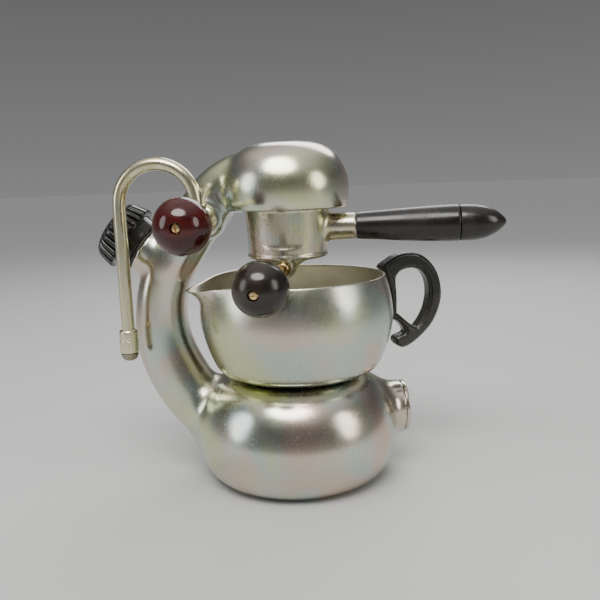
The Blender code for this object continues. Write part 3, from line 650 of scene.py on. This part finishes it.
def casting_fields():
    """The casting's signed distance, and how near each point is to one of its joins."""
    boss_axis = boss_direction()
    valve_bore, bore_floor = 9.3, 50      # radius, and distance out from the boiler's axis
    bowl = turned_field([(0, 76), (40, 76)] + smooth(BOWL, 6) + [(0, 0.9)])
    boss = turned_field(soften([(0, 80), (19.3, 80), (19.5, 72), (20.6, 60), (20.6, 40),
                                (0, 40)], 0.6))
    neck = turned_field(soften([(0, -8.2), (18.4, -8.2), (18.2, -13.2), (17.8, -34),
                                (0, -34)], 1.0))
    valve = turned_field(soften([(0, 22.6), (11.6, 21.6), (13.3, 19.2), (13.6, 6), (0, 6)],
                                1.5))
    head_line = smooth(HEAD, 6) + soften([(43.4, 198.9), (42.9, 197.5), (30, 197.5)], 1.2)[1:]
    head = turned_field(head_line + [(0, 197.5)])
    socket = turned_field(SOCKET)
    seat = turned_field([(0, 34), (10.6, 34), (10.6, 21.7), (6.2, 21.7), (6.2, 5), (0, 5)])
    arm = Arm(SPINE, SPINE_A, SPINE_B)
    slot_turn = math.radians(SLOT_AT)

    def parts(p):
        r = np.hypot(p[:, 0], p[:, 1])
        q, s = axial(p, (0, 0, BOSS_Z), boss_axis)
        low = [bowl(r, p[:, 2]), boss(q, s)]
        q, s = axial(p, CAP_C, CAP_AXIS)
        neck_d, neck_q, neck_s = neck(q, s), q, s
        q, s = axial(p, STEAM_AT, (0, -1, 0))
        mid = [arm(p), neck_d, valve(q, s)]
        seat_d = seat(q, s)
        h = np.hypot(p[:, 0] - GROUP_X, p[:, 1])
        return low, mid, head(h, p[:, 2]), seat_d, neck_q, neck_s, socket(h, p[:, 2])

    def field(p):
        low, mid, top, seat_d, neck_q, neck_s, hollow = parts(p)
        body = smin(low[0], low[1], 9.0)
        rise = smin(smin(mid[0], mid[1], 5.0), mid[2], 6.0)
        # the room that the column leaves for the filter holder, under the head's rim
        bay = np.minimum(p[:, 0] - BAY_X - 0.27 * (p[:, 2] - 190), RIM_Z - p[:, 2])
        bay = np.minimum(bay, p[:, 2] - 165)
        rise = smax(smax(rise, bay, 1.5), 5 - p[:, 2], 2.0)
        ease = np.clip((242 - p[:, 2]) / 20, 0.12, 1)
        f = smin(smin(rise, body, 13.0), top, 5.5 * ease)
        f = smax(f, 0.9 - p[:, 2], 0.6)
        bore = np.maximum(neck_q - 13.6, -34 - neck_s)
        f = smax(f, -bore, 0.5)
        q, s = axial(p, (0, 0, BOSS_Z), boss_axis)
        f = smax(f, -np.maximum(q - valve_bore, bore_floor - s), 0.4)
        f = smax(f, -seat_d, 0.5)
        f = smax(f, -hollow, 0.5)
        # the two slots that let the holder's lugs in
        local = p - np.array([GROUP_X, 0, 0])
        c, s = math.cos(slot_turn), math.sin(slot_turn)
        turned_p = np.stack([local[:, 0] * c + local[:, 1] * s,
                             -local[:, 0] * s + local[:, 1] * c, p[:, 2]], 1)
        slots = block(turned_p, (-34.6, -9.5, 190), (34.6, 9.5, 201.6), 0.1)
        return smax(f, -slots, 0.4)

    def crease(p):
        low, mid, top, *_ = parts(p)
        body = np.minimum(low[0], low[1])
        rise = np.minimum(mid[0], mid[2])
        marks = [np.abs(low[0] - low[1]) / 7 + 0.15, np.abs(body - rise) / 7,
                 np.abs(rise - top) / 7, np.abs(mid[0] - mid[2]) / 5 + 0.1,
                 np.abs(mid[0] - mid[1]) / 4 + 0.3]
        return np.clip(1 - np.min(marks, 0), 0, 1)

    return field, crease


def make_casting():
    field, crease = casting_fields()
    step = 1.25
    verts, faces = surface(field, (-121, -76, 0), (86, 76, 246), step)
    piece("body_casting", verts, faces, "cast_aluminium", "machine",
          ["boiler_casting", "column_casting", "head_casting"], sharp=50,
          marks={"crease": crease(verts)})
    plate = soften([(0, 5), (56, 5), (56, 1.2), (54.6, 0), (30, 0), (29, 0.8), (0, 0.8)], 0.5)
    turned("base_disc", plate, "cast_aluminium", "machine", ["base_plate"])
    valve_at = aim((0, 0, BOSS_Z), boss_direction())
    cap = smooth([(0, 84.6), (5, 84.55), (10, 84.35), (14.5, 83.95), (16.8, 83.5)], 4)
    cap += soften([(16.8, 83.5), (19.1, 82.8), (19.25, 81.2), (19.25, 80.12), (13.4, 80.12),
                   (13.4, 82.1), (0, 82.1)], 0.5)[1:]
    turned("safety_valve_face", cap, "cast_aluminium", "machine", ["safety_valve_cap"], valve_at)


# --- filter holder, tap, handle ---------------------------------------------------------
def holder_field():
    """The filter holder's cup, arm stub, drip beak and tap socket, as one signed distance."""
    cup = turned_field([(0, 206)] + soften(CUP_OUT, 0.8)[1:-1] + [(0, 158.8)])
    hollow = turned_field(CUP_IN)
    arm = turned_field(soften([(0, 47), (9.3, 47), (9.4, 38), (10.4, 20), (0, 20)], 0.5))
    tap_dir = Vector(TAP_TO) - Vector(TAP_AT)
    socket = turned_field([(0, 9), (4.7, 9), (4.7, -7), (2.6, -7), (2.6, -13), (0, -13)])
    collar = turned_field(soften([(0, 0.6), (6.6, 0.6), (7.2, -3), (7.4, -8), (0, -8)], 0.9))
    beak = np.array(BEAK)[::-1]
    heights = beak[:, 4]

    def snout(p):
        cx, cy, rx, ry = (np.interp(p[:, 2], heights, beak[:, k]) for k in range(4))
        dx, dy = (p[:, 0] - cx) / rx, (p[:, 1] - cy) / ry
        s = np.sqrt(np.maximum(dx * dx + dy * dy, 1e-9))
        d = (s - 1) / np.maximum(np.hypot(dx / rx, dy / ry) / s, 1e-3)
        return smax(smax(d, 150.9 - p[:, 2], 1.6), p[:, 2] - 168, 1.0)

    def parts(p):
        q = np.hypot(p[:, 0] - GROUP_X, p[:, 1])
        bar = np.sqrt(p[:, 1] ** 2 + (p[:, 2] - ARM_Z) ** 2)
        tq, ts = axial(p, TAP_AT, tap_dir)
        return cup(q, p[:, 2]), arm(bar, p[:, 0]), snout(p), q, tq, ts, collar(tq, ts)

    def field(p):
        body, stub, nose, q, tq, ts, ring = parts(p)
        f = smin(smin(body, stub, 4.5), nose, 6.5)
        f = smin(f, ring, 2.5)
        local = p - np.array([GROUP_X, 0, 0])
        f = smin(f, block(local, (-7, -33.2, 201.4), (7, 33.2, 205), 0.5), 0.8)
        f = smax(f, -hollow(q, p[:, 2]), 0.5)
        f = smax(f, -socket(tq, ts), 0.4)
        dq = np.hypot(p[:, 0] + 2.6, p[:, 1] + 20.4)
        duct = np.maximum(dq - 1.7, p[:, 2] - 158)
        f = smax(f, -duct, 0.3)
        stud = np.maximum(np.sqrt(p[:, 1] ** 2 + (p[:, 2] - ARM_Z) ** 2) - 3.1, 33.6 - p[:, 0])
        return smax(f, -stud, 0.3)

    def crease(p):
        body, stub, nose, *_, ring = parts(p)
        marks = [np.abs(body - stub) / 4 + 0.1, np.abs(body - nose) / 5 + 0.2,
                 np.abs(nose - ring) / 3 + 0.2]
        return np.clip(1 - np.min(marks, 0), 0, 1)

    return field, crease


def ball_profile(radius):
    """Front recess for the screw, round the ball, and the bore behind."""
    front, back = 12.0, 164.0
    arc = [(radius * math.sin(math.radians(t)), radius * math.cos(math.radians(t)))
           for t in np.linspace(front, back, 56)]
    lip = soften([(3.45, 13.2), (3.55, arc[0][1] - 0.55), (arc[0][0], arc[0][1]), arc[2]], 0.35)
    rear = soften([arc[-3], arc[-1], (2.3, arc[-1][1] + 0.5), (2.3, 6), (1.95, 6),
                   (1.95, 13.2)], 0.3)
    return lip[:-1] + arc[2:-2] + rear[1:]


def make_knob(prefix, at, look, slot, slot_turn, radius):
    """A ball knob and its slotted screw, on the body with the knob's name."""
    body = prefix + "_knob"
    turned(prefix + "_ball", ball_profile(radius), look, body, [body], at, segs=128,
           closed=True, slot=slot)
    head = turned_field([(0, 16.7), (1.3, 16.65), (2.4, 16.35), (3.0, 15.8), (3.15, 15.1),
                         (3.1, 13.5), (1.5, 13.3), (1.5, 7.2), (0, 7.2)], step=0.1, pad=3)
    c, s = math.cos(slot_turn), math.sin(slot_turn)

    def field(p):
        f = head(np.hypot(p[:, 0], p[:, 1]), p[:, 2])
        across = np.abs(-p[:, 0] * s + p[:, 1] * c) - 0.42
        groove = np.maximum(across, 15.4 - p[:, 2])
        return smax(f, -groove, 0.12)

    verts, faces = surface(field, (-3.3, -3.3, 7), (3.3, 3.3, 17), 0.18)
    piece(prefix + "_screw", verts, faces, "brass", body, [body + "_screw"], at)


def make_holder():
    field, crease = holder_field()
    step = 0.75
    verts, faces = surface(field, (-34, -34.5, 150), (48, 34.5, 207), step)
    piece("filter_holder_body", verts, faces, "holder_aluminium", "filter_holder",
          ["filter_holder"], sharp=50, marks={"crease": crease(verts)})
    tap_dir = Vector(TAP_TO) - Vector(TAP_AT)
    length = tap_dir.length
    tap_at = aim(TAP_AT, tap_dir)
    gland = soften([(2.4, 2.9), (3.6, 2.9), (4.3, 2.2), (4.3, -6.7), (2.4, -6.7)], 0.4)
    turned("tap_gland", gland, "brass", "filter_holder", ["tap_gland_nut"], tap_at, 64, True)
    rod = soften([(0, length + 5.5), (2, length + 5.5), (2, -10.5), (1, -12), (0, -12)], 0.3)
    turned("tap_rod", rod, "brass", "tap_spindle", ["tap_spindle"], tap_at, 48)
    make_knob("tap", tap_at @ Matrix.Translation((0, 0, length * MM)), "knob_bakelite",
              "black_bakelite", math.radians(88), BALL_R)

    arm_at = aim((0, 0, ARM_Z), (1, 0, 0))
    grip = [(3.1, 119.2)] + soften([(3.1, 119.6), (12.6, 119.6), (13.0, 119.0)], 0.3)[1:]
    grip += smooth([(13.0, 119.0)] + GRIP[1:], 6)[1:]
    grip += soften([(9.4, 47.8), (9.2, 47.4), (3.1, 47.4)], 0.3)[1:]
    turned("grip", grip, "handle_bakelite", "filter_holder", ["handle_grip"], arm_at,
           closed=True, slot="black_bakelite")
    end = smooth(GRIP_CAP, 6) + soften([(13, 124), (12.95, 120.5), (12.6, 120), (0, 120)],
                                       0.4)[1:]
    turned("grip_end", end, "handle_bakelite", "filter_holder", ["handle_end_cap"], arm_at,
           slot="black_bakelite")


# --- steam valve, pipe and knob ----------------------------------------------------------
def make_steam():
    valve_at = aim(STEAM_AT, (0, -1, 0))
    barrel = turned_field([(0, 37), (6.6, 37), (7.4, 36.2), (7.4, 25), (9.2, 24), (9.2, 21.9),
                           (5.8, 21.9), (5.8, 8), (0, 8)], step=0.2, pad=6)

    def field(p):
        q, s = axial(p, STEAM_AT, (0, -1, 0))
        root = np.hypot(p[:, 0] - PIPE_ROOT_X, p[:, 1] - PIPE_Y)
        turret = np.maximum(root - 6.7, np.maximum(p[:, 2] - 199.6, 190 - p[:, 2]))
        f = smin(barrel(q, s), turret, 1.6)
        f = smax(f, 3.0 - q, 0.2)
        pocket = np.maximum(root - (PIPE_R + 0.3), 197.8 - p[:, 2])
        return smax(f, -pocket, 0.2)

    verts, faces = surface(field, (-68.5, -38.5, 182), (-48, -7.5, 202), 0.5)
    piece("steam_valve_barrel", verts, faces, "pipe_nickel", "machine", ["steam_valve_body"])
    gland = soften([(2.9, 46), (3.9, 46), (4.5, 45.3), (4.5, 37.3), (2.9, 37.3)], 0.4)
    turned("steam_gland", gland, "pipe_nickel", "machine", ["steam_gland_nut"], valve_at, 64,
           True)
    ball = -STEAM_BALL_Y
    rod = soften([(0, ball + 5.5), (2, ball + 5.5), (2, ball - 19), (2.6, ball - 20),
                  (2.6, 13), (1.6, 12), (0, 12)], 0.3)
    turned("steam_rod", rod, "brass", "steam_spindle", ["steam_spindle"], valve_at, 48)
    make_knob("steam", valve_at @ Matrix.Translation((0, 0, ball * MM)), "red_bakelite",
              "red_bakelite", math.radians(8), BALL_R + 0.25)

    root_at = moved(PIPE_ROOT_X, PIPE_Y, 0)

    def hexagon(r, z, t):
        apothem = 7.3 * math.cos(math.pi / 6)
        side = apothem / math.cos((t + math.pi / 6) % (math.pi / 3) - math.pi / 6)
        return (min(side, r) if r > 5 else r), z

    nut = [(4.9, 203.6), (6.3, 203.6), (6.8, 203.4), (7.25, 202.9), (7.3, 202.6), (7.3, 200.9),
           (7.25, 200.6), (6.8, 200.1), (6.3, 199.9), (4.9, 199.9)]
    turned("steam_pipe_union", nut, "pipe_nickel", "machine", ["steam_pipe_nut"],
           root_at, 144, True, bend=hexagon)

    mid, half = (PIPE_ROOT_X + PIPE_LEG_X) / 2, (PIPE_ROOT_X - PIPE_LEG_X) / 2
    path = [(PIPE_ROOT_X, z) for z in np.linspace(198.2, PIPE_SPRING, 5)[:-1]]
    for t in np.linspace(0, math.pi, 41):
        path.append((mid + half * math.cos(t),
                     PIPE_SPRING + (PIPE_TOP - PIPE_SPRING) * math.sin(t)))
    path += [(PIPE_LEG_X, z) for z in np.linspace(PIPE_SPRING, PIPE_LOW, 40)[1:]]
    path = np.array(path)
    path[:, 0] = blurred(path[:, 0], 2)
    rings, segs = [], 40
    for radius, order in ((PIPE_R, 1), (2.7, -1)):
        for i in range(len(path))[::order]:
            a, b = path[max(i - 1, 0)], path[min(i + 1, len(path) - 1)]
            d = (b - a) / np.linalg.norm(b - a)
            t = np.arange(segs) * math.tau / segs
            rings.append(np.stack([path[i, 0] - d[1] * radius * np.sin(t),
                                   PIPE_Y + radius * np.cos(t),
                                   path[i, 1] + d[0] * radius * np.sin(t)], 1))
    verts, faces = np.vstack(rings), []
    for k in range(len(rings)):
        nxt = (k + 1) % len(rings)
        for i in range(segs):
            j = (i + 1) % segs
            faces.append((k * segs + i, nxt * segs + i, nxt * segs + j, k * segs + j))
    piece("steam_tube", verts, faces, "pipe_nickel", "steam_pipe", ["steam_pipe"])
    leg_at = moved(PIPE_LEG_X, PIPE_Y, 0)
    collar = soften([(PIPE_R + 0.3, 117.2), (5.6, 117.2), (6.4, 115.9), (6.5, 110.3),
                     (6.3, 110.0), (6.3, 109.6), (6.5, 109.3), (6.5, 101.6), (6.1, 100.7),
                     (5.0, 100.7), (5.0, 108), (PIPE_R + 0.3, 108.5)], 0.35)
    turned("steam_ferrule", collar, "pipe_nickel", "steam_pipe",
           ["steam_nozzle_collar"], leg_at, closed=True)
    tip = soften([(1.0, 107.6), (4.7, 107.6), (4.7, 100.3), (6.1, 100.3), (5.9, 98.4),
                  (4.8, 96.3), (2.6, 95.1), (1.0, 94.9)], 0.6)
    turned("steam_jet", tip, "nozzle_dark", "steam_pipe",
           ["steam_nozzle_tip"], leg_at, closed=True)


# --- filler cap ----------------------------------------------------------------------------
def make_filler():
    at = aim(CAP_C, CAP_AXIS)
    ribs = 28
    outline = smooth([(0, 21.6), (5, 21.55), (10, 21.35), (14.5, 20.85), (17.9, 19.9),
                      (20.6, 18.3), (22.4, 15.8), (23.5, 12.4), (24.2, 9), (24.8, 5.8)], 6)
    outline += soften([(24.8, 5.8), (25.0, 4.4), (24.4, 3.8), (20.6, 3.6), (19.9, 1),
                       (19.5, -3), (19.4, -5.4), (18.8, -6), (13.4, -6), (13.4, 12),
                       (11, 15.5), (0, 15.5)], 0.45)[1:]

    def fluted(r, z, t):
        groove = min(max((-0.1 - math.cos(ribs * t)) / 0.5, 0), 1)
        groove = groove * groove * (3 - 2 * groove)
        return r - groove * max(0, r - (22.7 - 0.18 * (z - 4))), z

    turned("filler_knob", outline, "black_bakelite", "filler_cap",
           ["filler_cap"], at, segs=ribs * 14, bend=fluted, sharp=60)
    plug = soften([(0, 14.9), (10.4, 14.9), (13, 11.6), (13, -20), (12.2, -21), (10.4, -21),
                   (10.4, 9), (0, 9)], 0.4)
    turned("filler_plug", plug, "brass", "filler_cap", ["filler_cap_plug"], at)
    ring = soften([(14.4, -6.3), (17.8, -6.3), (17.8, -7.9), (14.4, -7.9)], 0.5)
    turned("filler_seal", ring, "rubber_seal", "filler_gasket", ["filler_gasket"], at, closed=True)


# --- jug -----------------------------------------------------------------------------------
def beaked(r, z, t):
    """The jug's bowl draws out to a beak opposite the handle, where its rim dips a little."""
    off = (math.degrees(t) - JUG_AZ) % 360 - 180
    bump = math.exp(-abs(off / 15.5) ** 1.8)
    wide = math.exp(-abs(off / 24.0) ** 2.2)
    rise = max(0.0, (z - 112) / (148.3 - 112))
    lip = max(0.0, (z - 130) / (148.3 - 130))
    reach = 3.4 * wide * rise ** 1.5 + 12.0 * bump * lip ** 2.3
    return r + reach, z - 5.4 * wide * rise ** 3


def make_jug_bowl():
    """The spun bowl with its beak; returns its outer line."""
    outer = np.array(smooth(JUG, 5))
    along = np.gradient(outer, axis=0)
    along /= np.linalg.norm(along, axis=1)[:, None]
    inner = outer + np.stack([-along[:, 1], along[:, 0]], 1) * JUG_WALL
    middle, half = (outer[-1] + inner[-1]) / 2, (outer[-1] - inner[-1]) / 2
    rim = []
    for k in range(5, 0, -1):
        t = math.pi * k / 6
        rim.append(middle + half * math.cos(t) + along[-1] * JUG_WALL * 0.5 * math.sin(t))
    inner[:, 0] = np.maximum(inner[:, 0], 0.6)
    floor = JUG[0][1]
    run = np.vstack([[(0, floor + JUG_WALL)], inner, rim, outer[::-1], [(0, floor)]])
    segs = 192
    jug = turned("jug_bowl", run, "spun_aluminium", "jug", ["jug_body"], moved(JUG_X, 0, 0),
                 segs, bend=beaked)
    jug.data.materials.append(LOOKS["jug_inside"])
    for polygon in jug.data.polygons:
        if polygon.index // segs <= len(inner):
            polygon.material_index = 1
    return outer


def make_jug_handle(plane):
    """The moulded ring: a stepped band with two flutes along its outer face."""
    shape = Profile(smooth(RING, 3, closed=True), closed=True, step=0.25, pad=8)
    hole = Profile(smooth(RING_HOLE, 3, closed=True), closed=True, step=0.25, pad=8)
    middle = Profile([(78, 112), (76.3, 128), (75.2, 143.8), (84, 154.5), (95, 152.5),
                      (104, 145), (109, 132), (108.5, 122), (104, 110), (95, 98), (84, 94)],
                     closed=True, step=0.25, pad=14)

    def handle(p):
        d = smax(shape(p[:, 0], p[:, 1]), -hole(p[:, 0], p[:, 1]), 0.8)
        far = np.clip(middle(p[:, 0], p[:, 1]) / 2.0, 0, 1)
        flute = np.abs(np.abs(p[:, 2]) - 2.5) < 1.4
        depth = 0.55 * np.cos((np.abs(p[:, 2]) - 2.5) / 1.4 * math.pi / 2) * flute
        side = np.clip((-d - 1.5) / 0.9, 0, 1)
        d = d + depth * far
        half, soft = 5.8 + 1.25 * side * side * (3 - 2 * side), 2.0
        w = np.abs(p[:, 2]) - half + soft
        u = d + soft
        outside = np.hypot(np.maximum(u, 0), np.maximum(w, 0))
        f = outside + np.minimum(np.maximum(u, w), 0) - soft
        for z in RIVET_Z:
            q = np.hypot(p[:, 1] - z, p[:, 2])
            f = smax(f, -np.maximum(q - 1.9, p[:, 0] - 74.5), 0.2)
        return f

    step = 0.7
    verts, faces = surface(handle, (63, 86, -8), (114.5, 161, 8), step)
    piece("jug_grip", verts, faces, "jug_bakelite", "jug", ["jug_handle"], plane,
          slot="black_bakelite")


def make_jug():
    outer = make_jug_bowl()
    a = math.radians(JUG_AZ)
    along = Vector((math.cos(a), math.sin(a), 0))
    rows = (along, Vector((0, 0, 1)), along.cross(Vector((0, 0, 1))))
    plane = moved(JUG_X, 0, 0) @ Matrix(rows).transposed().to_4x4()
    make_jug_handle(plane)
    for k, z in enumerate(RIVET_Z):
        at = aim((JUG_X, 0, z), along)
        wall = np.interp(z, outer[:, 1], outer[:, 0])
        head = wall - JUG_WALL - 0.4
        shank = [(0, wall + 3.8), (1.6, wall + 3.8), (1.6, head + 0.2)]
        dome = [(3.4, head + 0.1), (3.3, head - 0.6), (2.6, head - 1.3), (1.4, head - 1.75),
                (0, head - 1.9)]
        name = "upper" if k == 0 else "lower"
        turned("rivet_" + name, shank + smooth(dome, 3), "pressed_steel", "jug",
               ["jug_rivet_" + name], at, 48)


# --- floor and light ---------------------------------------------------------------------
def make_studio():
    radius, corners = 14.0, 48
    turns = [math.tau * i / corners for i in range(corners)]
    verts = [(radius * math.cos(t), radius * math.sin(t), 0) for t in turns]
    mesh = bpy.data.meshes.new("floor")
    mesh.from_pydata(verts, [], [list(range(corners))])
    floor = bpy.data.objects.new("floor", mesh)
    bpy.context.scene.collection.objects.link(floor)
    g = Graph("floor", rough=0.75)
    g.end(g.mix(g.noise(4.0, 3.0), (0.50, 0.50, 0.495), (0.53, 0.53, 0.525)))
    mesh.materials.append(LOOKS["floor"])

    world = bpy.data.worlds.new("studio")
    bpy.context.scene.world = world
    world.use_nodes = True
    tree = world.node_tree
    coord = tree.nodes.new("ShaderNodeTexCoord")
    split = tree.nodes.new("ShaderNodeSeparateXYZ")
    ramp = tree.nodes.new("ShaderNodeValToRGB")
    stops = ((0.0, 0.25), (0.49, 0.24), (0.53, 0.20), (0.66, 0.11), (0.8, 0.22), (0.92, 0.8),
             (1.0, 1.1))
    for place, level in stops:
        stop = ramp.color_ramp.elements.new(place)
        stop.color = (level, level, level * 1.01, 1)
    ramp.color_ramp.elements.remove(ramp.color_ramp.elements[0])
    ramp.color_ramp.elements.remove(ramp.color_ramp.elements[-1])
    lift = tree.nodes.new("ShaderNodeMapRange")
    lift.inputs["From Min"].default_value = -1
    tree.links.new(coord.outputs["Generated"], split.inputs[0])
    tree.links.new(split.outputs["Z"], lift.inputs["Value"])
    tree.links.new(lift.outputs["Result"], ramp.inputs["Fac"])
    tree.links.new(ramp.outputs["Color"], tree.nodes["Background"].inputs["Color"])
    tree.nodes["Background"].inputs["Strength"].default_value = 1.0

    lamps = [("key", (-0.10, -0.66, 1.15), (0.95, 0.6), 16.0, (1.0, 0.99, 0.965)),
             ("left", (-1.25, -0.55, 0.55), (0.6, 0.9), 5.0, (0.93, 0.98, 1.0)),
             ("right", (1.15, -0.5, 0.55), (0.5, 0.8), 4.5, (1.0, 0.985, 0.90)),
             ("back", (0.2, 1.0, 0.95), (1.1, 0.6), 8.0, (1.0, 1.0, 1.0))]
    target = Vector((-0.01, 0, 0.12))
    for name, place, (wide, tall), power, tint in lamps:
        light = bpy.data.lights.new(name, "AREA")
        light.shape = "ELLIPSE"
        light.size, light.size_y = wide, tall
        light.energy = power
        light.color = tint
        lamp = bpy.data.objects.new(name, light)
        bpy.context.scene.collection.objects.link(lamp)
        away = Vector(place) - target
        turn = away.to_track_quat("Z", "Y").to_matrix().to_4x4()
        lamp.matrix_world = Matrix.Translation(place) @ turn


def dress_cad():
    """The CAD nodes that stay, with the finish of their slot."""
    slots = {row["node"]: row["material_slot"] for row in frame["record"]["subparts"]}
    for name, node in frame["nodes"].items():
        node.data.materials.clear()
        node.data.materials.append(LOOKS[slots[name]])


make_looks()
make_casting()
make_holder()
make_steam()
make_filler()
make_jug()
dress_cad()
make_studio()
